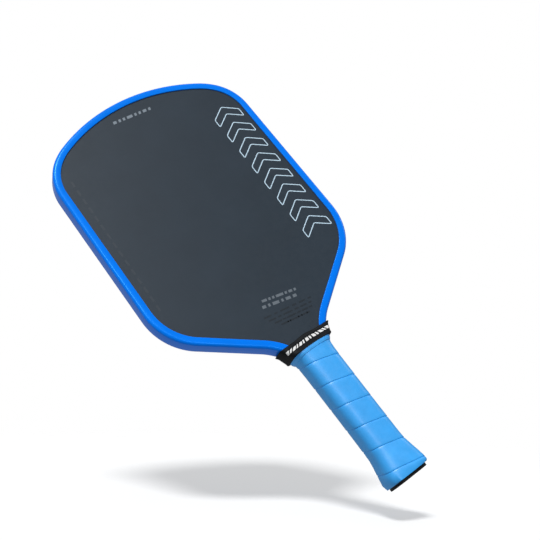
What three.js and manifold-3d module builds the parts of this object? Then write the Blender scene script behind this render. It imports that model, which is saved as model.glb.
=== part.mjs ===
// A pickleball paddle: a foam-core blade between two carbon sheets, rimmed by a moulded edge
// guard, on a wrapped octagonal handle that ends in a flared cap. Millimetres, +Z up.
//
// The paddle stands on the flat end of its butt cap, with the origin at the middle of that
// end. +Z runs up the handle to the tip, X runs across the blade, and the front hitting face
// looks to -Y.

import * as THREE from "three";
import { mergeVertices } from "three/addons/utils/BufferGeometryUtils.js";
import Module from "manifold-3d";

const wasm = await Module();
wasm.setup();

// Blade outline, from the tip down one side: arcs (radius, turn) and straight runs.
const LENGTH = 406;
const TOP_RADIUS = 160;
const TOP_TURN = 26.5;
const EASE_RADIUS = 60;
const EASE_TURN = 14;
const CORNER_RADIUS = 43.5;
const SIDE_LEAN = 0.9;
const SIDE_LENGTH = 124.5;
const SHOULDER_RADIUS = 53;
const THROAT_SLOPE = 35.3;
const THROAT_LENGTH = 53.5;
const THROAT_RADIUS = 52;
const THROAT_TURN = 27;
const NECK_LENGTH = 12;
const ARC_STEP = 5;

// Thickness build-up. GAP is a glue line or the clearance between two neighbours.
const GAP = 0.3;
const PANEL_THICKNESS = 14;
const SHEET_THICKNESS = 0.8;
const RING_WIDTH = 9;

// Edge guard: a channel with a lip over each face, bonded by a strip of foam tape.
const GUARD_WALL = 1;
const GUARD_LIP = 0.8;
const GUARD_LIP_WIDTH = 6.8;
const GUARD_ROUND = 2.4;
const GUARD_END = 133.6;
const EDGE_TAPE = 0.5;
const EDGE_TAPE_WIDTH = 12;

// Handle: the panel's tongue between two octagon-cornered shells.
const TONGUE_END = 7;
const TONGUE_HALF = 11.3;
const TONGUE_STRAIGHT_TOP = 118;
const SHELL_THICKNESS = 2.6;
const SHELL_CHAMFER = 2.3;
const NECK_HALF = 13;
const NECK_TOP = 126.5;

// Butt cap.
const CAP_PLATE_TOP = 1.8;
const CAP_PLATE_HALF = [16.7, 13.2];
const CAP_EDGE_ROUND = 0.5;
const CAP_TOP = 26;
const SOCKET_FLOOR = 6;
const BADGE_RADIUS = 7;
const BADGE_THICKNESS = 0.6;

// Soft layers on the handle.
const UNDERLAY_THICKNESS = 0.5;
const UNDERLAY_SPAN = [26.6, 121];
const GRIP_THICKNESS = 1.7;
const GRIP_SPAN = [2.1, 129.1];
const FINISHING_TAPE_THICKNESS = 0.6;
const FINISHING_TAPE_SPAN = [125.6, 129.1];
const COLLAR_THICKNESS = 1.1;
const COLLAR_SPAN = [129.4, 141.2];
const COLLAR_LOW_HALF_DEPTH = 14;
const SECTION_CHAMFER = 4;
const SECTION_ROUND = 2.5;

// The wrapped grip's outer size: [height, half width, half depth], straight in between.
const GRIP_PROFILE = [
  [2.1, 17.3, 13.8],
  [3.4, 18.0, 14.3],
  [8.0, 18.1, 14.4],
  [12.0, 17.5, 14.3],
  [18.0, 16.2, 13.9],
  [24.0, 15.1, 13.3],
  [30.0, 14.3, 12.8],
  [60.0, 14.3, 12.7],
  [108.0, 14.6, 12.7],
  [118.0, 14.8, 12.7],
  [124.0, 15.3, 12.7],
  [126.0, 15.9, 12.7],
  [129.1, 17.6, 12.7],
];

// Staples: wire section, crown and legs. Each one is [name, x, y, z, turn about Z].
const STAPLE_CROWN = 9;
const STAPLE_LEG = 3;
const STAPLE_WIRE = 0.7;
const STAPLE_WIDTH = 1.2;
const STAPLES = [
  ["butt_staple_front", 0, -11.4, 20, 0],
  ["butt_staple_back", 0, 11.4, 20, Math.PI],
  ["grip_start_staple", -15.6, 0, 10, -Math.PI / 2],
];

const PANEL_INSET = GUARD_WALL + GAP + EDGE_TAPE + GAP;
const HALF_PANEL = PANEL_THICKNESS / 2;
const HALF_CORE = HALF_PANEL - SHEET_THICKNESS - GAP;
const HALF_CHANNEL = HALF_PANEL + GAP;
const HALF_GUARD = HALF_CHANNEL + GUARD_LIP;
const SHELL_INNER = HALF_PANEL + GAP;
const SHELL_OUTER = SHELL_INNER + SHELL_THICKNESS;
const BELOW_GUARD = GUARD_END - 2;

// ---------------------------------------------------------------- outlines

// One side of the blade's outer edge, as points with their outward normals. The heading is
// the angle below +X, and each run starts where and how the last one ended.
function bladeEdge() {
  const shoulderTurn = 90 + SIDE_LEAN - THROAT_SLOPE;
  const runs = [
    { radius: TOP_RADIUS, turn: TOP_TURN },
    { radius: EASE_RADIUS, turn: EASE_TURN },
    { radius: CORNER_RADIUS, turn: 90 - SIDE_LEAN - TOP_TURN - EASE_TURN },
    { length: SIDE_LENGTH, turn: 0 },
    { radius: SHOULDER_RADIUS, turn: shoulderTurn },
    { length: THROAT_LENGTH, turn: 0 },
    { radius: THROAT_RADIUS, turn: -THROAT_TURN },
    { length: NECK_LENGTH, turn: 0 },
  ];
  let heading = 0;
  let here = new THREE.Vector2(0, LENGTH);
  const edge = [edgePoint(here, heading)];
  for (const { radius, turn, length } of runs) {
    const steps = Math.max(1, Math.ceil(Math.abs(turn) / ARC_STEP));
    const step = THREE.MathUtils.degToRad(turn) / steps;
    const chord = length ?? 2 * radius * Math.sin(Math.abs(step) / 2);
    for (let i = 0; i < steps; i++) {
      const along = heading + step / 2;
      const move = new THREE.Vector2(Math.cos(along), -Math.sin(along));
      here = here.clone().addScaledVector(move, chord);
      heading += step;
      edge.push(edgePoint(here, heading));
    }
  }
  return edge;
}

function edgePoint(at, heading) {
  return { at, normal: new THREE.Vector2(Math.sin(heading), Math.cos(heading)) };
}

// The same edge moved inwards, and ended where it comes down to a given height.
function edgeAbove(inset, floor) {
  const points = bladeEdge().map(({ at, normal }) => at.clone().addScaledVector(normal, -inset));
  const kept = points.filter((p) => p.y > floor);
  const last = kept[kept.length - 1];
  const next = points[kept.length];
  const share = (last.y - floor) / (last.y - next.y);
  return [...kept, last.clone().lerp(next, share)];
}

function edgeHalfWidth(height) {
  return edgeAbove(0, height).pop().x;
}

// One side of a panel layer: the blade's edge, the shoulder of the neck and the tongue.
function panelEdge(inset) {
  const neck = [
    [16.2, 131.2],
    [NECK_HALF, NECK_TOP],
    [TONGUE_HALF, TONGUE_STRAIGHT_TOP],
    [TONGUE_HALF, TONGUE_END],
  ].map(([x, z]) => new THREE.Vector2(x, z));
  return [...edgeAbove(inset, BELOW_GUARD + 1.2), ...neck];
}

function coreEdge() {
  const inset = PANEL_INSET + RING_WIDTH + GAP;
  const tongue = [
    [TONGUE_HALF, TONGUE_STRAIGHT_TOP],
    [TONGUE_HALF, TONGUE_END],
  ].map(([x, z]) => new THREE.Vector2(x, z));
  return [...edgeAbove(inset, GUARD_END), ...tongue];
}

// ---------------------------------------------------------------- solids

// A flat plate in the XZ plane from the outline of its right half, between two depths.
function plate(rightHalf, front, back, round = 0) {
  const leftHalf = rightHalf
    .slice(1)
    .reverse()
    .map((p) => new THREE.Vector2(-p.x, p.y));
  const geometry = new THREE.ExtrudeGeometry(new THREE.Shape([...rightHalf, ...leftHalf]), {
    depth: back - front - 2 * round,
    bevelEnabled: round > 0,
    bevelThickness: round,
    bevelSize: round,
    bevelOffset: -round,
    bevelSegments: 3,
  });
  geometry.rotateX(Math.PI / 2);
  geometry.translate(0, back - round, 0);
  return geometry;
}

// A soft-cornered octagon in a level plane, with half sizes, corner chamfer and corner radius.
function octagon(halfWidth, halfDepth, chamfer, round, z) {
  const width = halfWidth - round;
  const depth = halfDepth - round;
  const cut = Math.max(0, chamfer - (2 - Math.SQRT2) * round);
  const quarter = [
    [width, depth - cut],
    [width - cut, depth],
  ];
  const loop = [];
  for (let corner = 0; corner < 8; corner++) {
    const mirrored = corner % 4 > 1;
    const [x, y] = quarter[mirrored ? 3 - (corner % 4) : corner % 4];
    const signX = corner > 1 && corner < 6 ? -1 : 1;
    const signY = corner < 4 ? 1 : -1;
    for (let part = 0; part < 3; part++) {
      const angle = ((corner + part / 2) * Math.PI) / 4;
      loop.push([
        signX * x + round * Math.cos(angle),
        signY * y + round * Math.sin(angle),
        z,
      ]);
    }
  }
  return loop;
}

// A skin over rows of points. Rows run upwards with their points anticlockwise from above.
// A closed skin joins the last row to the first. An open one gets a flat end at each end.
function loft(rows, closed) {
  const size = rows[0].length;
  const positions = rows.flat(2);
  const index = [];
  const bands = closed ? rows.length : rows.length - 1;
  for (let r = 0; r < bands; r++) {
    const low = r * size;
    const high = ((r + 1) % rows.length) * size;
    for (let i = 0; i < size; i++) {
      const j = (i + 1) % size;
      index.push(low + i, low + j, high + j, low + i, high + j, high + i);
    }
  }
  if (!closed) {
    const top = (rows.length - 1) * size;
    for (let i = 1; i < size - 1; i++) {
      index.push(0, i + 1, i);
      index.push(top, top + i, top + i + 1);
    }
  }
  const geometry = new THREE.BufferGeometry();
  geometry.setAttribute("position", new THREE.Float32BufferAttribute(positions, 3));
  geometry.setIndex(index);
  return geometry;
}

// A tube between an outer and an inner stack of rows.
function sleeve(outerRows, innerRows) {
  return loft([...outerRows, ...innerRows.toReversed()], true);
}

function solidOf(geometry) {
  const bare = geometry.clone();
  bare.deleteAttribute("normal");
  bare.deleteAttribute("uv");
  const merged = mergeVertices(bare, 1e-3);
  return new wasm.Manifold(
    new wasm.Mesh({
      numProp: 3,
      vertProperties: new Float32Array(merged.attributes.position.array),
      triVerts: new Uint32Array(merged.index.array),
    }),
  );
}

function geometryOf(solid) {
  const mesh = solid.getMesh();
  const geometry = new THREE.BufferGeometry();
  geometry.setAttribute("position", new THREE.BufferAttribute(mesh.vertProperties, 3));
  geometry.setIndex(new THREE.BufferAttribute(mesh.triVerts, 1));
  geometry.computeVertexNormals();
  return geometry;
}

// What is left of a body when the cutters are taken away.
function cut(body, ...cutters) {
  return geometryOf(cutters.reduce((solid, cutter) => solid.subtract(solidOf(cutter)), solidOf(body)));
}

// ---------------------------------------------------------------- blade

function faceSheet(side) {
  const near = HALF_PANEL - SHEET_THICKNESS;
  const depths = [side * near, side * HALF_PANEL];
  return plate(panelEdge(PANEL_INSET), Math.min(...depths), Math.max(...depths));
}

function corePanel() {
  return plate(coreEdge(), -HALF_CORE, HALF_CORE);
}

function perimeterRing() {
  const outer = plate(edgeAbove(PANEL_INSET, GUARD_END + 1), -HALF_CORE, HALF_CORE);
  const hole = plate(edgeAbove(PANEL_INSET + RING_WIDTH, BELOW_GUARD), -HALF_PANEL, HALF_PANEL);
  return cut(outer, hole);
}

function edgeTape() {
  const outerInset = GUARD_WALL + GAP;
  const half = EDGE_TAPE_WIDTH / 2;
  const outer = plate(edgeAbove(outerInset, GUARD_END), -half, half);
  const hole = plate(edgeAbove(outerInset + EDGE_TAPE, BELOW_GUARD), -HALF_PANEL, HALF_PANEL);
  return cut(outer, hole);
}

function edgeGuard() {
  const block = plate(edgeAbove(0, GUARD_END), -HALF_GUARD, HALF_GUARD, GUARD_ROUND);
  const channel = plate(edgeAbove(GUARD_WALL, BELOW_GUARD - 2), -HALF_CHANNEL, HALF_CHANNEL);
  const window = plate(edgeAbove(GUARD_LIP_WIDTH, BELOW_GUARD - 2), -LENGTH, LENGTH);
  return cut(block, channel, window);
}

// ---------------------------------------------------------------- handle

// A half-octagon shell on one face of the tongue, thinned out over the throat. Its rows are
// [height, half width, outer depth].
function handleShell(side) {
  const rows = [
    [TONGUE_END, TONGUE_HALF, SHELL_OUTER],
    [TONGUE_STRAIGHT_TOP, TONGUE_HALF, SHELL_OUTER],
    [NECK_TOP, NECK_HALF - 0.2, SHELL_OUTER],
    [130, NECK_HALF - 0.4, SHELL_OUTER - 0.6],
    [136, NECK_HALF - 2.5, SHELL_INNER + 0.5],
  ].map(([z, half, depth]) => {
    const chamfer = Math.min(SHELL_CHAMFER, depth - SHELL_INNER - 0.2);
    return [
      [-half, SHELL_INNER, z],
      [half, SHELL_INNER, z],
      [half, depth - chamfer, z],
      [half - chamfer, depth, z],
      [chamfer - half, depth, z],
      [-half, depth - chamfer, z],
    ];
  });
  const shell = loft(rows, false);
  return side < 0 ? shell.rotateZ(Math.PI) : shell;
}

function handleSection(clearance, z) {
  const chamfer = SHELL_CHAMFER + (2 - Math.SQRT2) * clearance;
  return octagon(TONGUE_HALF + clearance, SHELL_OUTER + clearance, chamfer, 0.2, z);
}

// The grip's outer half width and half depth at a height.
function gripSize(z) {
  const last = GRIP_PROFILE.length - 1;
  const upper = GRIP_PROFILE.findIndex((row) => row[0] >= z);
  const high = GRIP_PROFILE[upper < 0 ? last : Math.max(1, upper)];
  const low = GRIP_PROFILE[upper < 0 ? last - 1 : Math.max(1, upper) - 1];
  const share = (z - low[0]) / (high[0] - low[0]);
  return [1, 2].map((k) => low[k] + share * (high[k] - low[k]));
}

// The grip's section moved outwards by a distance, or inwards where that is negative.
function gripSection(offset, z) {
  const [width, depth] = gripSize(z);
  const chamfer = SECTION_CHAMFER + (2 - Math.SQRT2) * offset;
  return octagon(width + offset, depth + offset, chamfer, SECTION_ROUND + 0.5 * offset, z);
}

function heightsBetween([low, high]) {
  const inside = GRIP_PROFILE.map((row) => row[0]).filter((z) => z > low && z < high);
  return [low, ...inside, high];
}

function gripWrap() {
  const heights = heightsBetween(GRIP_SPAN);
  const outer = heights.map((z) => gripSection(0, z));
  const inner = heights.map((z) => gripSection(-GRIP_THICKNESS, z));
  return sleeve(outer, inner);
}

function gripUnderlay() {
  const outer = UNDERLAY_SPAN.map((z) => handleSection(GAP + UNDERLAY_THICKNESS, z));
  const inner = UNDERLAY_SPAN.map((z) => handleSection(GAP, z));
  return flareWithNeck(outer, inner);
}

// The underlay's top follows the neck where the tongue widens under it.
function flareWithNeck(outer, inner) {
  const share = (UNDERLAY_SPAN[1] - TONGUE_STRAIGHT_TOP) / (NECK_TOP - TONGUE_STRAIGHT_TOP);
  const widen = share * (NECK_HALF - TONGUE_HALF);
  const spread = (row) => row.map(([x, y, z]) => [x + Math.sign(x) * widen, y, z]);
  const straight = (row) => row.map(([x, y]) => [x, y, TONGUE_STRAIGHT_TOP]);
  return sleeve(
    [outer[0], straight(outer[0]), spread(outer[1])],
    [inner[0], straight(inner[0]), spread(inner[1])],
  );
}

function finishingTape() {
  const outer = FINISHING_TAPE_SPAN.map((z) => gripSection(GAP + FINISHING_TAPE_THICKNESS, z));
  const inner = FINISHING_TAPE_SPAN.map((z) => gripSection(GAP, z));
  return sleeve(outer, inner);
}

// The rubber collar stretches from the round of the handle up onto the flat throat.
function rubberCollar() {
  const [low, high] = COLLAR_SPAN;
  const steps = 4;
  const outer = [];
  const inner = [];
  for (let i = 0; i <= steps; i++) {
    const share = i / steps;
    const z = low + share * (high - low);
    const halfWidth = edgeHalfWidth(z) + GAP;
    const halfDepth = THREE.MathUtils.lerp(COLLAR_LOW_HALF_DEPTH - COLLAR_THICKNESS, HALF_GUARD + GAP, share);
    inner.push(octagon(halfWidth, halfDepth, 1.6, 1.2, z));
    outer.push(octagon(halfWidth + COLLAR_THICKNESS, halfDepth + COLLAR_THICKNESS, 2.2, 1.8, z));
  }
  return sleeve(outer, inner);
}

// ---------------------------------------------------------------- butt end

function buttCap() {
  const [halfWidth, halfDepth] = CAP_PLATE_HALF;
  const plateRows = [
    [CAP_EDGE_ROUND, 0],
    [0, CAP_EDGE_ROUND],
    [0, CAP_PLATE_TOP],
  ].map(([inset, z]) => octagon(halfWidth - inset, halfDepth - inset, SECTION_CHAMFER, SECTION_ROUND, z));
  const bodySpan = [CAP_PLATE_TOP + 0.1, CAP_TOP];
  const bodyRows = heightsBetween(bodySpan).map((z) => gripSection(-GRIP_THICKNESS - GAP, z));
  const socket = loft([handleSection(GAP, SOCKET_FLOOR), handleSection(GAP, CAP_TOP + 1)], false);
  const recess = disc(BADGE_RADIUS, -1, BADGE_THICKNESS + GAP);
  return cut(loft([...plateRows, ...bodyRows], false), socket, recess, ...stapleCutters());
}

function disc(radius, low, high) {
  const geometry = new THREE.CylinderGeometry(radius, radius, high - low, 40);
  geometry.rotateX(Math.PI / 2);
  geometry.translate(0, 0, (low + high) / 2);
  return geometry;
}

function buttBadge() {
  return disc(BADGE_RADIUS - GAP, 0, BADGE_THICKNESS);
}

// A flat-wire staple with its crown along X and its legs pointing to +Y, grown all round.
function staple(grow) {
  const half = STAPLE_CROWN / 2;
  const outer = half + grow;
  const inner = half - STAPLE_WIRE - grow;
  const outline = [
    [-outer, -grow],
    [outer, -grow],
    [outer, STAPLE_LEG + grow],
    [inner, STAPLE_LEG + grow],
    [inner, STAPLE_WIRE + grow],
    [-inner, STAPLE_WIRE + grow],
    [-inner, STAPLE_LEG + grow],
    [-outer, STAPLE_LEG + grow],
  ].map(([x, y]) => new THREE.Vector2(x, y));
  const width = STAPLE_WIDTH + 2 * grow;
  const geometry = new THREE.ExtrudeGeometry(new THREE.Shape(outline), { depth: width, bevelEnabled: false });
  return geometry.translate(0, 0, -width / 2);
}

// The slots that the staples need in what they are driven through.
function stapleCutters() {
  return STAPLES.map(([, x, y, z, turn]) => staple(GAP).rotateZ(turn).translate(x, y, z));
}

// ---------------------------------------------------------------- the paddle

function finish(color, roughness, metalness = 0) {
  return new THREE.MeshStandardMaterial({ color, roughness, metalness });
}

const CARBON = finish(0x39424b, 0.62);
const FOAM = finish(0xe4e1d8, 0.9);
const DARK_FOAM = finish(0x4a4d50, 0.9);
const TAPE = finish(0xdad8cf, 0.7);
const BLUE_GUARD = finish(0x0b72ec, 0.32);
const SHELL_PLASTIC = finish(0x8d9296, 0.7);
const BLACK_PLASTIC = finish(0x121315, 0.45);
const BADGE_PLASTIC = finish(0x2a2d30, 0.3);
const STEEL = finish(0xb4b7ba, 0.35, 0.9);
const SKY_GRIP = finish(0x3f9ff0, 0.5);
const BLACK_RUBBER = finish(0x141517, 0.6);

const paddle = new THREE.Group();
paddle.name = "pickleball_paddle";

function add(name, geometry, material) {
  const mesh = new THREE.Mesh(geometry, material);
  mesh.name = name;
  paddle.add(mesh);
  return mesh;
}

add("core_panel", corePanel(), FOAM);
add("perimeter_foam_ring", perimeterRing(), DARK_FOAM);
add("front_face_sheet", faceSheet(-1), CARBON);
add("back_face_sheet", faceSheet(1), CARBON);
add("edge_tape", edgeTape(), TAPE);
add("edge_guard", edgeGuard(), BLUE_GUARD);
add("front_handle_shell", cut(handleShell(-1), ...stapleCutters()), SHELL_PLASTIC);
add("back_handle_shell", cut(handleShell(1), ...stapleCutters()), SHELL_PLASTIC);
add("butt_cap", buttCap(), BLACK_PLASTIC);
add("butt_badge", buttBadge(), BADGE_PLASTIC);
add("grip_underlay", gripUnderlay(), TAPE);
add("grip_wrap", gripWrap(), SKY_GRIP);
add("finishing_tape", finishingTape(), SKY_GRIP);
add("rubber_collar", rubberCollar(), BLACK_RUBBER);

for (const [name, x, y, z, turn] of STAPLES) {
  const mesh = add(name, staple(0), STEEL);
  mesh.position.set(x, y, z);
  mesh.rotation.z = turn;
}

export default paddle;
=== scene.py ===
"""Looks of the pickleball paddle: smooth blade, guard, collar, spiral grip and cap around the CAD frame.

Lengths are written in millimetres with the factor MM, and everything is built in the CAD frame:
+Z up the handle, +X across the blade, the front hitting face towards -Y.
"""
import math

import bpy
import numpy as np
from mathutils import Matrix, Vector


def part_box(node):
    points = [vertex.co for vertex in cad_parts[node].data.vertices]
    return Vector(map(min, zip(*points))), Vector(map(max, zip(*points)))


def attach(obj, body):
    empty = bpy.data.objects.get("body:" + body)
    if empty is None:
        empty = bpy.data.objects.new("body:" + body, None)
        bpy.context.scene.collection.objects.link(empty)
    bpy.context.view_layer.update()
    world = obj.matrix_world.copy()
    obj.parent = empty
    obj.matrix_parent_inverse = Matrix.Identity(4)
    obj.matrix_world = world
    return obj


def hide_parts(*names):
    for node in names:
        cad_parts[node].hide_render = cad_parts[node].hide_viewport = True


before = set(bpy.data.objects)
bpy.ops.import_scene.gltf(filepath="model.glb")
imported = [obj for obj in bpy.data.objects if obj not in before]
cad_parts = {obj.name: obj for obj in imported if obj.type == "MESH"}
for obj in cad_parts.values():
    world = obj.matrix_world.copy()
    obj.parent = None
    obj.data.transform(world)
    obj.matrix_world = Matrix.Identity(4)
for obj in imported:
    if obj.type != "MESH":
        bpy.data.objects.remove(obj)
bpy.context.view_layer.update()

MM = 0.001
TAU = 2 * math.pi
BODY = "root"

# Blade outline, from the tip down one side: the CAD model's arcs and straight runs.
TOP_ARC = (160, 26.5)
EASE_ARC = (60, 14)
CORNER_RADIUS = 43.5
SIDE_LEAN = 0.9
SIDE_LENGTH = 124.5
SHOULDER_RADIUS = 53
THROAT_SLOPE = 35.3
THROAT_LENGTH = 53.5
THROAT_ARC = (52, 27)
NECK_LENGTH = 12
ARC_STEP = 1.5
STRAIGHT_STEP = 2.5

# Sizes that the frame gives.
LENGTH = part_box("edge_guard")[1].z / MM
GUARD_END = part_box("edge_guard")[0].z / MM
HALF_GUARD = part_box("edge_guard")[1].y / MM
HALF_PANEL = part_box("back_face_sheet")[1].y / MM
SHEET_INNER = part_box("back_face_sheet")[0].y / MM
PANEL_INSET = (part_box("edge_guard")[1].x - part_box("back_face_sheet")[1].x) / MM
TONGUE_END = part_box("core_panel")[0].z / MM
GRIP_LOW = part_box("grip_wrap")[0].z / MM
GRIP_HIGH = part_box("grip_wrap")[1].z / MM
TAPE_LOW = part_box("finishing_tape")[0].z / MM
TAPE_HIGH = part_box("finishing_tape")[1].z / MM
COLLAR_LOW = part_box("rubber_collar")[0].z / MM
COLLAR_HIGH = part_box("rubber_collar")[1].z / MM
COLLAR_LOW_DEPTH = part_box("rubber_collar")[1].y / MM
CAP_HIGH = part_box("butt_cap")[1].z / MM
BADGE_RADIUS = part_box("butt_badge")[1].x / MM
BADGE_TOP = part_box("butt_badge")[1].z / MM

# Edge guard section.
GUARD_WALL = 1.0
GUARD_LIP_WIDTH = 6.8
GUARD_ROUND = 2.6
LIP_ROUND = 0.35

# Grip: one strip wound upwards, clockwise seen from above.
GRIP_PITCH = 21.05
SEAM_AT_FRONT = 9.7
CORNER_CUT = 4.4
GRIP_START = GRIP_LOW + 0.5
LIP_HEIGHT = 1.8
LIP_DEPTH = 1.0
BUTT_SWELL = 0.8
BUTT_SWELL_HEIGHT = 7
CORNER_SHARPNESS = 10

# The strip's section: distance up from its lower edge, and height over the plain wrap. The
# lower edge laps over the turn below, and the upper edge dives under the next turn.
STRIP_TOP = [
    (0.0, 0.55), (0.08, 0.78), (0.3, 0.96), (0.8, 1.04), (2.5, 1.04), (6, 1.0), (12, 0.98),
    (18, 0.97), (19.8, 0.93), (20.5, 0.82), (20.85, 0.65), (21.3, 0.42), (23.6, 0.35),
]
STRIP_UNDER = [(23.6, -0.9), (20, -1.4), (4, -1.4), (3, 0.45), (0.3, 0.47)]

COLLAR_THICKNESS = 1.1
COLLAR_BEAD = 0.22
COLLAR_LOW_SWELL = 0.9
# Run over which the collar bridges from the guard's lip down to the face.
COLLAR_BRIDGE = 9
# How far the edges of the collar and the tape rise in front and drop at the sides.
COLLAR_LOW_SAG = (0.4, 0.2)
COLLAR_HIGH_SAG = (0.5, 1.3)
TAPE_SAG = (0.9, 0.1)


# ---------------------------------------------------------------- camera, floor and light

CAMERA_PLACE = Vector((-0.3283, -0.6966, 0.0175))
CAMERA_AZIMUTH = 26.3
CAMERA_ELEVATION = 13.54
CAMERA_ROLL = -37.87
CAMERA_LENS = 62.86


def camera_axes():
    """Right, up and back of the camera in the row frame."""
    azimuth = math.radians(CAMERA_AZIMUTH)
    elevation = math.radians(CAMERA_ELEVATION)
    forward = Vector((
        math.sin(azimuth) * math.cos(elevation),
        math.cos(azimuth) * math.cos(elevation),
        math.sin(elevation),
    ))
    level_right = forward.cross(Vector((0, 0, 1))).normalized()
    turn = Matrix.Rotation(math.radians(-CAMERA_ROLL), 3, forward)
    right = turn @ level_right
    return right, right.cross(forward), -forward


RIGHT, UP, BACK = camera_axes()


def placed(location, back, up):
    """A world matrix whose local Z looks along back and local Y along up."""
    right = up.cross(back).normalized()
    turned = Matrix((right, back.cross(right), back)).transposed().to_4x4()
    return Matrix.Translation(location) @ turned


def make_camera():
    data = bpy.data.cameras.new("camera")
    data.lens = CAMERA_LENS
    data.clip_start = 0.01
    camera = bpy.data.objects.new("camera", data)
    camera.matrix_world = placed(CAMERA_PLACE, BACK, UP)
    bpy.context.scene.collection.objects.link(camera)
    bpy.context.scene.camera = camera


def in_view(right, up, back):
    """A point given in metres from the camera along its own axes."""
    return CAMERA_PLACE + RIGHT * right + UP * up + BACK * back


def highlight(name, direction, distance, size, power):
    """A softbox that only shows as a reflection, in a direction from the middle of the view."""
    target = in_view(0, 0, -0.8)
    back = (RIGHT * direction[0] + UP * direction[1] + BACK * direction[2]).normalized()
    data = bpy.data.lights.new(name, "AREA")
    data.shape = "RECTANGLE"
    data.size, data.size_y = size
    data.energy = power
    light = bpy.data.objects.new(name, data)
    light.matrix_world = placed(target + back * distance, back, RIGHT.cross(back).normalized())
    light.visible_diffuse = False
    bpy.context.scene.collection.objects.link(light)


def sun_light(name, direction, angle, strength):
    """Light from a direction given along the camera's right, up and back."""
    data = bpy.data.lights.new(name, "SUN")
    data.angle = math.radians(angle)
    data.energy = strength
    light = bpy.data.objects.new(name, data)
    toward = (RIGHT * direction[0] + UP * direction[1] + BACK * direction[2]).normalized()
    light.matrix_world = placed(CAMERA_PLACE, toward, RIGHT.cross(toward).normalized())
    bpy.context.scene.collection.objects.link(light)


def make_lights():
    sun_light("key_light", (-0.149, 1.0, 0.598), 13, 2.4)
    sun_light("left_fill", (-0.6, 0.0, 0.8), 70, 0.25)
    highlight("collar_softbox", (0.295, 0.298, 0.909), 0.75, (0.16, 0.16), 0.8)
    highlight("butt_softbox", (0.076, 0.584, 0.81), 0.8, (0.16, 0.16), 0.5)
    highlight("left_softbox", (-0.29, 0.5, 0.82), 0.9, (0.14, 0.14), 2.5)
    highlight("right_softbox", (0.72, 0.69, -0.1), 0.9, (0.3, 0.3), 1.3)


def make_world():
    world = bpy.data.worlds.new("studio")
    world.use_nodes = True
    nodes, links = world.node_tree.nodes, world.node_tree.links
    nodes.clear()
    path = nodes.new("ShaderNodeLightPath")
    seen = nodes.new("ShaderNodeBackground")
    seen.inputs["Color"].default_value = (1, 1, 1, 1)
    fill = nodes.new("ShaderNodeBackground")
    fill.inputs["Color"].default_value = (0.93, 0.96, 1.0, 1)
    fill.inputs["Strength"].default_value = 0.4
    mix = nodes.new("ShaderNodeMixShader")
    output = nodes.new("ShaderNodeOutputWorld")
    links.new(path.outputs["Is Camera Ray"], mix.inputs["Fac"])
    links.new(fill.outputs["Background"], mix.inputs[1])
    links.new(seen.outputs["Background"], mix.inputs[2])
    links.new(mix.outputs["Shader"], output.inputs["Surface"])
    bpy.context.scene.world = world


FLOOR_PLACE = (0.03, -0.202, -0.82)
FLOOR_NORMAL = (0.035, 0.996, -0.079)
FLOOR_RADIUS = 0.7


def make_floor():
    """A pale disc below the paddle in the main view, seen from above only."""
    normal = (RIGHT * FLOOR_NORMAL[0] + UP * FLOOR_NORMAL[1] + BACK * FLOOR_NORMAL[2]).normalized()
    rim = [(math.cos(i * TAU / 96), math.sin(i * TAU / 96), 0) for i in range(96)]
    mesh = bpy.data.meshes.new("floor")
    mesh.from_pydata([Vector(p) * FLOOR_RADIUS for p in rim], [], [range(96)])
    floor = bpy.data.objects.new("floor", mesh)
    away = (-BACK + normal * normal.dot(BACK)).normalized()
    floor.matrix_world = placed(in_view(*FLOOR_PLACE), normal, away)
    bpy.context.scene.collection.objects.link(floor)
    floor.data.materials.append(floor_material())
    floor.visible_diffuse = False
    floor.visible_glossy = False


def floor_material():
    """Matt white that fades out towards the disc's edge and from behind."""
    material = bpy.data.materials.new("floor_paper")
    material.use_nodes = True
    nodes, links = material.node_tree.nodes, material.node_tree.links
    nodes.clear()
    paper = nodes.new("ShaderNodeBsdfPrincipled")
    paper.inputs["Base Color"].default_value = (0.65, 0.65, 0.65, 1)
    paper.inputs["Roughness"].default_value = 1.0
    paper.inputs["Specular IOR Level"].default_value = 0.0
    paper.inputs["Emission Color"].default_value = (1, 1, 1, 1)
    paper.inputs["Emission Strength"].default_value = 0.385
    clear = nodes.new("ShaderNodeBsdfTransparent")
    place = nodes.new("ShaderNodeTexCoord")
    span = nodes.new("ShaderNodeVectorMath")
    span.operation = "LENGTH"
    fade = nodes.new("ShaderNodeMapRange")
    fade.interpolation_type = "SMOOTHSTEP"
    fade.inputs["From Min"].default_value = 0.45 * FLOOR_RADIUS
    fade.inputs["From Max"].default_value = 0.95 * FLOOR_RADIUS
    side = nodes.new("ShaderNodeNewGeometry")
    hidden = nodes.new("ShaderNodeMath")
    hidden.operation = "MAXIMUM"
    mix = nodes.new("ShaderNodeMixShader")
    output = nodes.new("ShaderNodeOutputMaterial")
    links.new(place.outputs["Object"], span.inputs[0])
    links.new(span.outputs["Value"], fade.inputs["Value"])
    links.new(fade.outputs["Result"], hidden.inputs[0])
    links.new(side.outputs["Backfacing"], hidden.inputs[1])
    links.new(hidden.outputs["Value"], mix.inputs["Fac"])
    links.new(paper.outputs["BSDF"], mix.inputs[1])
    links.new(clear.outputs["BSDF"], mix.inputs[2])
    links.new(mix.outputs["Shader"], output.inputs["Surface"])
    return material


# ---------------------------------------------------------------- materials

def blank_material(name, color, roughness, **settings):
    """A Principled material with its uniform values set on its own sockets."""
    material = bpy.data.materials.new(name)
    material.use_nodes = True
    shader = material.node_tree.nodes["Principled BSDF"]
    shader.inputs["Base Color"].default_value = (*color, 1)
    shader.inputs["Roughness"].default_value = roughness
    for socket, value in settings.items():
        shader.inputs[socket.replace("_", " ")].default_value = value
    return material


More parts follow.
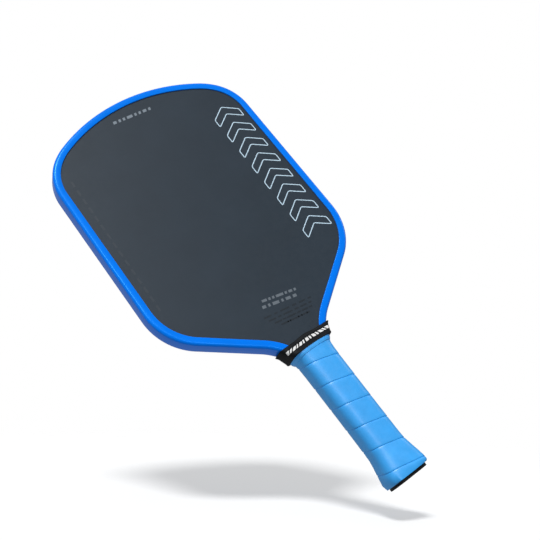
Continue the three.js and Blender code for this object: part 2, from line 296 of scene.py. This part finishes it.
def noise(material, size, detail=3.0, stretch=(1, 1, 1)):
    """A noise texture over the object's own coordinates, with grains of about size mm."""
    nodes, links = material.node_tree.nodes, material.node_tree.links
    place = nodes.new("ShaderNodeTexCoord")
    scale = nodes.new("ShaderNodeMapping")
    scale.inputs["Scale"].default_value = stretch
    grain = nodes.new("ShaderNodeTexNoise")
    grain.inputs["Scale"].default_value = 1 / (size * MM)
    grain.inputs["Detail"].default_value = detail
    links.new(place.outputs["Object"], scale.inputs["Vector"])
    links.new(scale.outputs["Vector"], grain.inputs["Vector"])
    return grain.outputs["Fac"]


def ridges(material, size, axis):
    """Soft parallel ridges across an axis, size mm apart."""
    nodes, links = material.node_tree.nodes, material.node_tree.links
    place = nodes.new("ShaderNodeTexCoord")
    wave = nodes.new("ShaderNodeTexWave")
    wave.bands_direction = axis
    wave.inputs["Scale"].default_value = TAU / 20 / (size * MM)
    links.new(place.outputs["Object"], wave.inputs["Vector"])
    return wave.outputs["Fac"]


def add_bump(material, height, depth, strength=1.0):
    """Bumps of about depth mm on top of whatever bumps the material has."""
    nodes, links = material.node_tree.nodes, material.node_tree.links
    shader = nodes["Principled BSDF"]
    bump = nodes.new("ShaderNodeBump")
    bump.inputs["Distance"].default_value = depth * MM
    bump.inputs["Strength"].default_value = strength
    links.new(height, bump.inputs["Height"])
    if shader.inputs["Normal"].is_linked:
        links.new(shader.inputs["Normal"].links[0].from_socket, bump.inputs["Normal"])
    links.new(bump.outputs["Normal"], shader.inputs["Normal"])


def vary_color(material, factor, dark, light, low=0.3, high=0.7):
    """Base colour that runs from dark to light with a factor."""
    nodes, links = material.node_tree.nodes, material.node_tree.links
    ramp = nodes.new("ShaderNodeValToRGB")
    ramp.color_ramp.elements[0].position = low
    ramp.color_ramp.elements[0].color = (*dark, 1)
    ramp.color_ramp.elements[1].position = high
    ramp.color_ramp.elements[1].color = (*light, 1)
    links.new(factor, ramp.inputs["Fac"])
    links.new(ramp.outputs["Color"], nodes["Principled BSDF"].inputs["Base Color"])


def vary_roughness(material, factor, low, high):
    nodes, links = material.node_tree.nodes, material.node_tree.links
    spread = nodes.new("ShaderNodeMapRange")
    spread.inputs["From Min"].default_value = 0.3
    spread.inputs["From Max"].default_value = 0.7
    spread.inputs["To Min"].default_value = low
    spread.inputs["To Max"].default_value = high
    links.new(factor, spread.inputs["Value"])
    links.new(spread.outputs["Result"], nodes["Principled BSDF"].inputs["Roughness"])


def shaded(color, factor):
    return tuple(channel * factor for channel in color)


def carbon_material():
    """Peel-ply carbon: a fine grit over a faint square weave."""
    color = (0.016, 0.028, 0.042)
    material = blank_material("carbon_face", color, 0.45, Specular_IOR_Level=0.2)
    vary_color(material, noise(material, 30, 5), shaded(color, 0.93), shaded(color, 1.07))
    vary_roughness(material, noise(material, 4), 0.40, 0.50)
    add_bump(material, ridges(material, 0.9, "X"), 0.012)
    add_bump(material, ridges(material, 0.9, "Z"), 0.012)
    add_bump(material, noise(material, 0.35, 2), 0.05)
    return material


def guard_material():
    color = (0.0, 0.185, 0.88)
    tint = (0.1, 0.55, 1.0, 1.0)
    material = blank_material("guard_plastic", color, 0.3, Specular_Tint=tint, Specular_IOR_Level=0.5)
    vary_color(material, noise(material, 18), shaded(color, 0.96), shaded(color, 1.04))
    vary_roughness(material, noise(material, 6), 0.22, 0.27)
    add_bump(material, noise(material, 2.2, 2), 0.012)
    add_bump(material, noise(material, 0.3, 2), 0.004)
    return material


def grip_material():
    """Smooth tacky polyurethane with fine pores."""
    color = (0.030, 0.37, 0.88)
    material = blank_material("grip_fabric", color, 0.45, Specular_IOR_Level=0.5)
    vary_color(material, noise(material, 12, 5), shaded(color, 0.93), shaded(color, 1.06))
    vary_roughness(material, noise(material, 3), 0.34, 0.44)
    add_bump(material, noise(material, 0.9, 4), 0.045)
    add_bump(material, noise(material, 6, 2), 0.1)
    return material


def tape_material():
    color = (0.04, 0.38, 0.88)
    material = blank_material("finishing_vinyl", color, 0.4)
    vary_color(material, noise(material, 5), shaded(color, 0.94), shaded(color, 1.05))
    add_bump(material, noise(material, 0.5, 2, (1, 1, 0.1)), 0.06)
    return material


def rubber_material():
    color = (0.0035, 0.0045, 0.006)
    material = blank_material("collar_rubber", color, 0.6, Specular_IOR_Level=0.12)
    vary_color(material, noise(material, 8), shaded(color, 0.85), shaded(color, 1.2))
    vary_roughness(material, noise(material, 3), 0.52, 0.66)
    add_bump(material, noise(material, 0.25, 3), 0.02)
    return material


def cap_material():
    color = (0.004, 0.0043, 0.005)
    material = blank_material("cap_plastic", color, 0.5, Specular_IOR_Level=0.12)
    vary_roughness(material, noise(material, 2), 0.4, 0.52)
    add_bump(material, noise(material, 0.4, 3), 0.03)
    return material


def badge_material():
    color = (0.018, 0.02, 0.023)
    material = blank_material("badge_plastic", color, 0.2, Coat_Weight=0.6)
    vary_color(material, noise(material, 4), shaded(color, 0.9), shaded(color, 1.1))
    add_bump(material, noise(material, 1.5, 2), 0.01)
    return material


def ink_material(name, color, roughness=0.42):
    """Screen ink with a slightly uneven film."""
    material = blank_material(name, color, roughness, Specular_IOR_Level=0.25)
    vary_color(material, noise(material, 1.2, 3), shaded(color, 0.88), shaded(color, 1.05))
    add_bump(material, noise(material, 0.3, 2), 0.01)
    return material


def foam_material(name, color, cell):
    material = blank_material(name, color, 0.85)
    vary_color(material, noise(material, cell, 4), shaded(color, 0.8), shaded(color, 1.1))
    add_bump(material, noise(material, cell, 3), 0.25)
    return material


def plain_moulding(name, color, roughness):
    material = blank_material(name, color, roughness)
    vary_color(material, noise(material, 6), shaded(color, 0.92), shaded(color, 1.06))
    add_bump(material, noise(material, 0.6, 3), 0.03)
    return material


def steel_material():
    material = blank_material("staple_steel", (0.55, 0.56, 0.57), 0.32, Metallic=1.0)
    vary_roughness(material, noise(material, 0.8, 4, (1, 1, 8)), 0.25, 0.45)
    add_bump(material, noise(material, 0.3, 2, (1, 1, 6)), 0.01)
    return material


# ---------------------------------------------------------------- mesh tools

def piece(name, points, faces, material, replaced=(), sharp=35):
    """A closed piece of the paddle from points in mm."""
    mesh = bpy.data.meshes.new(name)
    mesh.from_pydata([Vector(p) * MM for p in points], [], faces)
    mesh.validate()
    mesh.polygons.foreach_set("use_smooth", [True] * len(mesh.polygons))
    mesh.set_sharp_from_angle(angle=math.radians(sharp))
    obj = bpy.data.objects.new(name, mesh)
    bpy.context.scene.collection.objects.link(obj)
    mesh.materials.append(material)
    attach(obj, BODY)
    if replaced:
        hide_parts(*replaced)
    return obj


def tube_faces(rows, size, closed_rows, offset=0):
    """Quads between rows of size points, each row a closed ring."""
    faces = []
    bands = rows if closed_rows else rows - 1
    for r in range(bands):
        low, high = r * size + offset, ((r + 1) % rows) * size + offset
        for i in range(size):
            j = (i + 1) % size
            faces.append((low + i, low + j, high + j, high + i))
    return faces


def octagon_radius(angle, width, depth, cut, sharpness=CORNER_SHARPNESS):
    """How far a soft octagon reaches at an angle: a smooth blend of its eight flat sides."""
    corner = (width + depth - cut) / math.sqrt(2)
    reach = 0.0
    for side, distance in enumerate((width, corner, depth, corner) * 2):
        toward = math.cos(angle - side * TAU / 8)
        if toward > 0:
            reach += (toward / distance) ** sharpness
    return reach ** (-1 / sharpness)


def frame_profile(node):
    """Rows of (height, half width, half depth) of a CAD node's outside, in mm."""
    rows = {}
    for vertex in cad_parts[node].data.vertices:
        x, y, z = (abs(c) / MM for c in vertex.co)
        width, depth = rows.get(round(z, 2), (0, 0))
        rows[round(z, 2)] = (max(width, x), max(depth, y))
    return np.array([(z, *rows[z]) for z in sorted(rows)])


def smooth_profile(rows, spread=1.6):
    """The profile as a function of height, with its corners eased over spread mm."""
    heights = np.arange(rows[0, 0], rows[-1, 0] + 0.1, 0.2)
    steps = np.arange(-3 * spread, 3 * spread + 0.1, 0.2)
    weight = np.exp(-0.5 * (steps / spread) ** 2)
    weight /= weight.sum()
    pad = len(steps) // 2
    eased = []
    for column in (1, 2):
        plain = np.interp(heights, rows[:, 0], rows[:, column])
        low = 2 * plain[0] - plain[pad:0:-1]
        high = 2 * plain[-1] - plain[-2:-pad - 2:-1]
        eased.append(np.convolve(np.concatenate([low, plain, high]), weight, "valid"))
    return lambda z: (float(np.interp(z, heights, eased[0])), float(np.interp(z, heights, eased[1])))


# ---------------------------------------------------------------- blade

def blade_edge():
    """One side of the blade's outer edge from the tip down: points and outward normals."""
    runs = [
        (*TOP_ARC, 0),
        (*EASE_ARC, 0),
        (CORNER_RADIUS, 90 - SIDE_LEAN - TOP_ARC[1] - EASE_ARC[1], 0),
        (0, 0, SIDE_LENGTH),
        (SHOULDER_RADIUS, 90 + SIDE_LEAN - THROAT_SLOPE, 0),
        (0, 0, THROAT_LENGTH),
        (THROAT_ARC[0], -THROAT_ARC[1], 0),
        (0, 0, NECK_LENGTH),
    ]
    heading, at = 0.0, np.array([0.0, LENGTH])
    edge = [(at, heading)]
    for radius, turn, length in runs:
        steps = math.ceil(length / STRAIGHT_STEP) or math.ceil(abs(turn) / ARC_STEP)
        step = math.radians(turn) / steps
        chord = length / steps or 2 * radius * math.sin(abs(step) / 2)
        for _ in range(steps):
            along = heading + step / 2
            at = at + chord * np.array([math.cos(along), -math.sin(along)])
            heading += step
            edge.append((at, heading))
    return edge


EDGE = blade_edge()


def edge_above(inset, floor):
    """The blade's edge moved inwards, down to a height."""
    shifted = [at - inset * np.array([math.sin(h), math.cos(h)]) for at, h in EDGE]
    kept = [p for p in shifted if p[1] > floor]
    last, following = kept[-1], shifted[len(kept)]
    share = (last[1] - floor) / (last[1] - following[1])
    return kept + [last + share * (following - last)]


def mirrored_outline(right_half):
    """The whole outline, clockwise from the left foot over the tip to the right foot."""
    left_half = [np.array([-x, z]) for x, z in right_half[:0:-1]]
    return left_half + list(right_half)


def edge_half_width(z):
    return edge_above(0, z)[-1][0]


def arc(center, radius, start, end, steps):
    """Points on an arc, with angles in degrees."""
    angles = np.radians(np.linspace(start, end, steps + 1))
    return [(center[0] + radius * math.cos(a), center[1] + radius * math.sin(a)) for a in angles]


def guard_section():
    """The channel's section as (inset from the outer edge, depth), round the closed outline."""
    wall = HALF_GUARD - GUARD_ROUND
    lip_low = HALF_PANEL + 0.12
    lip_in = GUARD_LIP_WIDTH - LIP_ROUND
    half = [(0, 0)]
    half += arc((GUARD_ROUND, wall), GUARD_ROUND, 180, 90, 8)
    half += arc((lip_in, HALF_GUARD - LIP_ROUND), LIP_ROUND, 90, 0, 3)
    half += [(GUARD_LIP_WIDTH, lip_low), (GUARD_WALL + 0.6, lip_low)]
    half += [(GUARD_WALL, lip_low - 0.6), (GUARD_WALL, 0)]
    mirrored = [(inset, -depth) for inset, depth in half[-2:0:-1]]
    return half + mirrored


def make_edge_guard():
    section = guard_section()
    layers = [mirrored_outline(edge_above(inset, GUARD_END)) for inset, _ in section]
    count = min(len(layer) for layer in layers)
    points = []
    for station in range(count):
        for (inset, depth), layer in zip(section, layers):
            # Layers differ by a few points at the feet, so each is read from its own middle.
            x, z = layer[(len(layer) - count) // 2 + station]
            points.append((x, depth, z))
    size = len(section)
    faces = tube_faces(count, size, closed_rows=False)
    faces.append(tuple(range(size)))
    faces.append(tuple(range((count - 1) * size, count * size))[::-1])
    flipped = [f[::-1] for f in faces]
    material = guard_material()
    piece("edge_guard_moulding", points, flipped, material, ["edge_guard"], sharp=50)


def sheet_outline():
    """The face sheet's outline: blade, neck shoulder and tongue, as in the CAD model."""
    neck = [(16.2, 131.2), (13, 126.5), (11.3, 118), (11.3, TONGUE_END)]
    half = edge_above(PANEL_INSET, GUARD_END - 0.8) + [np.array(p) for p in neck]
    return mirrored_outline(half)


def make_face_sheet(name, node, side, material):
    outline = sheet_outline()
    size = len(outline)
    points = [(x, side * SHEET_INNER, z) for x, z in outline]
    points += [(x, side * HALF_PANEL, z) for x, z in outline]
    faces = [tuple(range(size)), tuple(range(size, 2 * size))[::-1]]
    faces += [(i, i + size, (i + 1) % size + size, (i + 1) % size) for i in range(size)]
    if side < 0:
        faces = [f[::-1] for f in faces]
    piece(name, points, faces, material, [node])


# ---------------------------------------------------------------- handle

GRIP_SIZE = smooth_profile(frame_profile("grip_wrap"))


def grip_point(angle, z, offset):
    """A point on the grip's surface, moved outwards by an offset."""
    width, depth = GRIP_SIZE(z)
    lip = max(0, 1 - (z - GRIP_START) / LIP_HEIGHT)
    offset -= LIP_DEPTH * (1 - math.sqrt(1 - lip * lip))
    offset += BUTT_SWELL * max(0, 1 - (z - GRIP_START) / BUTT_SWELL_HEIGHT)
    radius = octagon_radius(angle, width + offset, depth + offset, CORNER_CUT)
    return (radius * math.cos(angle), radius * math.sin(angle), z)


def make_grip():
    """One long strip, its first turn tapered at the butt and its last cut level at the top."""
    section = STRIP_TOP + STRIP_UNDER
    width = STRIP_TOP[-1][0]
    steps_per_turn = 96
    # The strip winds clockwise, and passes the front at the seam's height there.
    start_angle = 0.75 * TAU + (SEAM_AT_FRONT - GRIP_LOW) / GRIP_PITCH * TAU
    first = -0.97 * width / GRIP_PITCH
    last = (GRIP_HIGH - GRIP_LOW) / GRIP_PITCH - 0.01
    count = round((last - first) * steps_per_turn)
    points = []
    for turns in np.linspace(first, last, count + 1):
        low_edge = GRIP_LOW + GRIP_PITCH * turns
        for along, height in section:
            z = min(max(low_edge + along, GRIP_START), GRIP_HIGH)
            points.append(grip_point(start_angle - turns * TAU, z, height))
    size = len(section)
    faces = tube_faces(count + 1, size, closed_rows=False)
    faces.append(tuple(range(size))[::-1])
    faces.append(tuple(range(count * size, (count + 1) * size)))
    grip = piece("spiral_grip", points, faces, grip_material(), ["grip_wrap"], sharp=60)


def sagged(angle, z, sag):
    """A height that rises in front and behind and drops at the sides."""
    rise, drop = sag
    facing = math.sin(angle) ** 2
    return z + rise * facing - drop * (1 - facing)


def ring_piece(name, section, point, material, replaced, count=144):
    """A closed band: section is a closed outline of (offset, height), swept round the handle."""
    rows = []
    for i in range(count):
        angle = i * TAU / count
        rows += [point(angle, z, offset) for offset, z in section]
    size = len(section)
    faces = [f[::-1] for f in tube_faces(count, size, closed_rows=True)]
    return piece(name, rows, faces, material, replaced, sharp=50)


def make_finishing_tape():
    """A narrow band with a rolled lower edge over the grip's cut end."""
    low, high = TAPE_LOW, TAPE_HIGH
    section = [(0.2, low + 0.1), (0.2, high), (1.7, high), (1.75, high - 0.9), (1.6, high - 1.0)]
    section += [(1.85, high - 1.15), (1.9, high - 1.7), (1.75, high - 2.4)]
    section += arc((1.1, low + 0.5), 0.5, 20, -90, 5)

    def point(angle, z, offset):
        return grip_point(angle, sagged(angle, z, TAPE_SAG), offset)

    material = tape_material()
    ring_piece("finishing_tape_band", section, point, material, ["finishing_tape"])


def collar_point(angle, z, offset):
    """The stretched collar: round over the handle's end, flat against the face and guard above."""
    share = (z - COLLAR_LOW) / (COLLAR_HIGH - COLLAR_LOW)
    ease = share * share * (3 - 2 * share)
    width = edge_half_width(z) + 0.5 + COLLAR_LOW_SWELL * (1 - share)
    low_depth = COLLAR_LOW_DEPTH - COLLAR_THICKNESS + COLLAR_LOW_SWELL
    depth = low_depth + (HALF_GUARD + 0.1 - low_depth) * (0.35 * share + 0.65 * ease)
    cut = 3.2 - 1.6 * share
    radius = octagon_radius(angle, width + offset, depth + offset, cut, 22)
    x, y = radius * math.cos(angle), radius * math.sin(angle)
    sag = [low + (high - low) * share for low, high in zip(COLLAR_LOW_SAG, COLLAR_HIGH_SAG)]
    lip_start = width - GUARD_LIP_WIDTH - 1
    bridge = min(1, max(0, (abs(x) - lip_start) / COLLAR_BRIDGE + 1))
    sink = (HALF_GUARD - HALF_PANEL) * (1 - bridge * bridge * (3 - 2 * bridge)) * ease
    return (x, y - math.copysign(sink, y) if abs(y) > sink else y, sagged(angle, z, sag))


def collar_section():
    """Collar wall with a rounded bead along both edges."""
    low, high = COLLAR_LOW, COLLAR_HIGH
    bead = COLLAR_BEAD
    edge = [(0.55, 0), (0.9, 0.12), (1.05, 0.4), (1.1, 0.8), (1.02, 1.3)]
    outer = [(offset, low + inset) for offset, inset in edge]
    outer += [(1.1 - bead, z) for z in np.linspace(low + 1.8, high - 1.8, 10)]
    outer += [(offset, high - inset) for offset, inset in edge[::-1]]
    inner = [(0.1, high), (0.0, high - 0.4)]
    inner += [(0.0, z) for z in np.linspace(high - 2, low + 2, 8)]
    inner += [(0.0, low + 0.4), (0.1, low)]
    return outer + inner


def make_collar():
    section = collar_section()[::-1]
    material = rubber_material()
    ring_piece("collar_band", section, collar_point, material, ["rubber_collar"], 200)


# ---------------------------------------------------------------- butt end

PLATE_SIZE = (16.7, 13.2)
PLATE_TOP = 2.5
SOCKET_SIZE = (11.6, 10.2)
SOCKET_FLOOR = 6.0


def make_butt_cap():
    """Plate, flared body and socket as one closed skin, with the badge's recess in its end."""
    def circle(z, radius):
        return [(radius * math.cos(a), radius * math.sin(a), z) for a in angles]

    def ring(z, size, cut):
        reach = [octagon_radius(a, *size, cut) for a in angles]
        return [(r * math.cos(a), r * math.sin(a), z) for r, a in zip(reach, angles)]

    count = 128
    angles = [i * TAU / count for i in range(count)]
    recess = BADGE_RADIUS + 0.3
    rows = [
        circle(BADGE_TOP + 0.3, recess),
        circle(0.15, recess),
        circle(0.0, recess + 0.15),
    ]
    width, depth = PLATE_SIZE
    for inset, z in [(0.5, 0), (0.2, 0.08), (0, 0.3), (0, PLATE_TOP)]:
        rows.append(ring(z, (width - inset, depth - inset), CORNER_CUT))
    for z in np.linspace(PLATE_TOP + 0.3, CAP_HIGH, 14):
        body_width, body_depth = GRIP_SIZE(z)
        rows.append(ring(z, (body_width - 2.1, body_depth - 2.1), CORNER_CUT - 1.2))
    rows.append(ring(CAP_HIGH, SOCKET_SIZE, 2.4))
    rows.append(ring(SOCKET_FLOOR, SOCKET_SIZE, 2.4))
    points = [p for row in rows for p in row]
    faces = tube_faces(len(rows), count, closed_rows=False)
    faces.append(tuple(range(count))[::-1])
    last = (len(rows) - 1) * count
    faces.append(tuple(range(last, last + count)))
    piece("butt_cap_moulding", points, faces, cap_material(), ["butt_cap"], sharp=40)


def make_badge():
    """A plain domed inlay with a fine turned edge."""
    rings = [(BADGE_RADIUS, BADGE_TOP), (BADGE_RADIUS, 0.2), (BADGE_RADIUS - 0.25, 0.06)]
    rings += [(BADGE_RADIUS - 0.9, 0.04), (BADGE_RADIUS - 1.2, 0.12), (BADGE_RADIUS - 1.6, 0.04)]
    rings.append((2.0, 0.0))
    count = 96
    angles = [i * TAU / count for i in range(count)]
    points = []
    for radius, z in rings:
        points += [(radius * math.cos(a), radius * math.sin(a), z) for a in angles]
    faces = [f[::-1] for f in tube_faces(len(rings), count, closed_rows=False)]
    faces.append(tuple(range(count)))
    last = (len(rings) - 1) * count
    faces.append(tuple(range(last, last + count))[::-1])
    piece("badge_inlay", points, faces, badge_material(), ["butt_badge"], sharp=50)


# ---------------------------------------------------------------- printed pattern

INK_RISE = 0.06
COLLAR_INK_RISE = 0.12
COLLAR_BLOCK_PAIRS = 7
COLLAR_BLOCK_RUN = 0.38
PATTERN_COUNT = 8
PATTERN_TOP = 357
PATTERN_LEFT = 61
PATTERN_RIGHT = 88
PATTERN_PITCH = 18.6
PATTERN_ARM = 8.2
PATTERN_DROP = 9
PATTERN_LINE = 0.85


def rounded_outline(corners, radius, steps=5):
    """A closed outline whose corners are rounded by quadratic curves."""
    points = []
    count = len(corners)
    for i in range(count):
        before, here, after = (np.array(corners[(i + k) % count], float) for k in (-1, 0, 1))
        start = here + (before - here) / np.linalg.norm(before - here) * radius
        end = here + (after - here) / np.linalg.norm(after - here) * radius
        for t in np.linspace(0, 1, steps + 1):
            points.append((1 - t) ** 2 * start + 2 * t * (1 - t) * here + t * t * end)
    return points


def line_band(outline, width):
    """Inner and outer copies of a closed outline, half a line width to either side."""
    inner, outer = [], []
    count = len(outline)
    for i in range(count):
        before, here, after = outline[i - 1], outline[i], outline[(i + 1) % count]
        a = (here - before) / max(1e-9, np.linalg.norm(here - before))
        b = (after - here) / max(1e-9, np.linalg.norm(after - here))
        normal = np.array([a[1] + b[1], -a[0] - b[0]])
        normal /= max(0.3, np.linalg.norm(normal) ** 2 / 2)
        inner.append(here - normal * width / 2)
        outer.append(here + normal * width / 2)
    return inner, outer


def ink_outline(outline, width):
    """Points and faces of a raised closed line on the front face."""
    inner, outer = line_band(outline, width)
    count = len(outline)
    face, skin = -HALF_PANEL, -HALF_PANEL - INK_RISE
    points = []
    for loop, depth in ((inner, face), (inner, skin), (outer, skin), (outer, face)):
        points += [(x, depth, z) for x, z in loop]
    faces = tube_faces(4, count, closed_rows=True)
    return points, faces


def ink_block(outline):
    """Points and faces of a raised filled shape on the front face."""
    count = len(outline)
    points = [(x, -HALF_PANEL, z) for x, z in outline]
    points += [(x, -HALF_PANEL - INK_RISE, z) for x, z in outline]
    faces = [tuple(range(count)), tuple(range(count, 2 * count))[::-1]]
    faces += [(i, i + count, (i + 1) % count + count, (i + 1) % count) for i in range(count)]
    return points, faces


def joined(shapes):
    """One point list and face list from several."""
    points, faces = [], []
    for shape_points, shape_faces in shapes:
        base = len(points)
        points += shape_points
        faces += [tuple(i + base for i in f) for f in shape_faces]
    return points, faces


def chevron(left, right, base, drop, thick):
    """A chevron across a band: its arms fall by drop to both sides and are thick mm deep."""
    middle = (left + right) / 2
    return [
        (left, base - drop), (middle, base), (right, base - drop),
        (right, base - drop + thick), (middle, base + thick), (left, base - drop + thick),
    ]


def make_big_pattern():
    """A row of outlined chevrons down the right side of the front face."""
    shapes = []
    for k in range(PATTERN_COUNT):
        base = PATTERN_TOP - PATTERN_ARM - PATTERN_PITCH * k
        corners = chevron(PATTERN_LEFT, PATTERN_RIGHT, base, PATTERN_DROP, PATTERN_ARM)
        shapes.append(ink_outline(rounded_outline(corners, 1.6), PATTERN_LINE))
    points, faces = joined(shapes)
    pale_ink = ink_material("pale_ink", (0.55, 0.72, 0.85))
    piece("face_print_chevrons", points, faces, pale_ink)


def dash_row(left, right, base, slope, height, widths):
    """A row of slanted filled dashes along a line that falls by slope from left to right."""
    shapes = []
    gap = (right - left - sum(widths)) / max(1, len(widths) - 1)
    x = left
    for width in widths:
        z = base - slope * (x - left)
        lean = 0.25 * height
        end, end_z = x + width, z - slope * width
        corners = [(x, z), (end, end_z), (end + lean, end_z + height), (x + lean, z + height)]
        shapes.append(ink_block([np.array(c) for c in corners]))
        x += width + gap
    return shapes


def make_small_prints():
    shapes = dash_row(-20.5, 17, 387.6, 0.06, 2.7, [3.2, 2.2, 2.2, 5.4, 2.2, 2.2, 3.6, 2.2])
    points, faces = joined(shapes)
    grey_ink = ink_material("grey_ink", (0.20, 0.24, 0.28))
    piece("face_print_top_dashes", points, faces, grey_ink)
    shapes = dash_row(-11.5, 20.5, 182.3, 0.19, 2.2, [4.6, 2, 2, 6.8, 2, 3.4, 2])
    shapes += dash_row(-14.5, 17.5, 177.4, 0.19, 2.6, [3.4, 2, 6.0, 2, 4.6, 3.4])
    points, faces = joined(shapes)
    dim_ink = ink_material("dim_ink", (0.13, 0.155, 0.18))
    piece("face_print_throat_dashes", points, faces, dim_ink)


def make_dark_prints():
    """Dark tone-on-tone lines near the throat."""
    shapes = []
    for k, (left, right) in enumerate([(-19, 27), (-17, 25), (-14, 23), (-10, 18)]):
        z = 169.5 - 4.0 * k
        shapes += dash_row(left, right, z, 0.12, 1.3, [7, 3, 9, 4, 6, 3])
    points, faces = joined(shapes)
    ink = ink_material("dark_ink", (0.008, 0.015, 0.023), 0.42)
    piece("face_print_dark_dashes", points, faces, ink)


def make_side_prints():
    """A faint line of dashes down the left side, hardly lighter than the face."""
    shapes = []
    for k in range(15):
        z = 351 - 9.3 * k
        x = -84 - 0.27 * k
        corners = [(x, z), (x + 1.8, z), (x + 1.8, z + 5.6), (x, z + 5.6)]
        shapes.append(ink_block([np.array(c) for c in corners]))
    points, faces = joined(shapes)
    ink = ink_material("faint_ink", (0.021, 0.033, 0.047), 0.45)
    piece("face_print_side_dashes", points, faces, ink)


def collar_way():
    """Share of the way round the collar at each of its angles."""
    angles = np.linspace(0, TAU, 361)
    middle = (COLLAR_LOW + COLLAR_HIGH) / 2
    ring = np.array([collar_point(a, middle, COLLAR_THICKNESS) for a in angles])
    steps = np.linalg.norm(np.diff(ring, axis=0), axis=1)
    return np.concatenate([[0], np.cumsum(steps)]) / steps.sum(), angles


def collar_block(way, start, span, low, high, lean):
    """One slanted block a little proud of the collar, from a start share over a span of shares."""
    columns, rows = 4, 4
    skin = COLLAR_THICKNESS - COLLAR_BEAD
    points = []
    for offset in (skin - 0.1, skin + COLLAR_INK_RISE):
        for r in range(rows + 1):
            share = r / rows
            places = [start + lean * share + span * c / columns for c in range(columns + 1)]
            z = low + (high - low) * share
            angles = np.interp(np.array(places) % 1, *way)
            points += [collar_point(angle, z, offset) for angle in angles]
    across = columns + 1
    layer = across * (rows + 1)
    faces = []
    for r in range(rows):
        for c in range(columns):
            a, b = r * across + c, (r + 1) * across + c
            faces += [(a, b, b + 1, a + 1), (layer + a, layer + a + 1, layer + b + 1, layer + b)]
    for r in range(rows):
        left, right = r * across, r * across + columns
        faces.append((left, layer + left, layer + left + across, left + across))
        faces.append((right, right + across, layer + right + across, layer + right))
    for c in range(columns):
        top = rows * across + c
        faces.append((c, c + 1, layer + c + 1, layer + c))
        faces.append((top, layer + top, layer + top + 1, top + 1))
    return points, faces


def make_collar_pattern():
    """Slanted pale blocks, long and short in turn, over the collar's front and back."""
    low, high = COLLAR_LOW + 4.5, COLLAR_LOW + 7.6
    pitch = COLLAR_BLOCK_RUN / COLLAR_BLOCK_PAIRS
    way = collar_way()
    shapes = []
    for side in (0, 0.5):
        start = side + 0.25 - COLLAR_BLOCK_RUN / 2
        for k in range(COLLAR_BLOCK_PAIRS):
            long_block = start + k * pitch
            short_block = long_block + 0.56 * pitch
            shapes.append(collar_block(way, long_block, 0.40 * pitch, low, high, 0.16 * pitch))
            shapes.append(collar_block(way, short_block, 0.22 * pitch, low, high, 0.16 * pitch))
    points, faces = joined(shapes)
    white_ink = ink_material("white_ink", (0.80, 0.80, 0.78))
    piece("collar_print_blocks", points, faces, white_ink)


# ---------------------------------------------------------------- CAD nodes that stay

def finish_inner_nodes():
    """Hidden structure keeps its CAD shape and gets its own material."""
    foam = foam_material("core_foam", (0.78, 0.75, 0.69), 1.6)
    ring = foam_material("ring_foam", (0.07, 0.075, 0.08), 0.8)
    tape = foam_material("bond_tape", (0.6, 0.58, 0.52), 0.5)
    under = foam_material("underlay_tape", (0.7, 0.7, 0.68), 0.4)
    shell = plain_moulding("shell_plastic", (0.27, 0.29, 0.31), 0.6)
    steel = steel_material()
    finishes = {
        "core_panel": foam,
        "perimeter_foam_ring": ring,
        "edge_tape": tape,
        "grip_underlay": under,
        "front_handle_shell": shell,
        "back_handle_shell": shell,
        "butt_staple_front": steel,
        "butt_staple_back": steel,
        "grip_start_staple": steel,
    }
    for node, material in finishes.items():
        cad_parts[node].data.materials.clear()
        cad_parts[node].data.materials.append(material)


def main():
    bpy.context.scene.view_settings.view_transform = "Standard"
    make_camera()
    make_world()
    make_lights()
    make_floor()
    carbon = carbon_material()
    make_edge_guard()
    make_face_sheet("front_hitting_face", "front_face_sheet", -1, carbon)
    make_face_sheet("back_hitting_face", "back_face_sheet", 1, carbon)
    make_grip()
    make_finishing_tape()
    make_collar()
    make_butt_cap()
    make_badge()
    make_big_pattern()
    make_small_prints()
    make_dark_prints()
    make_side_prints()
    make_collar_pattern()
    finish_inner_nodes()


main()
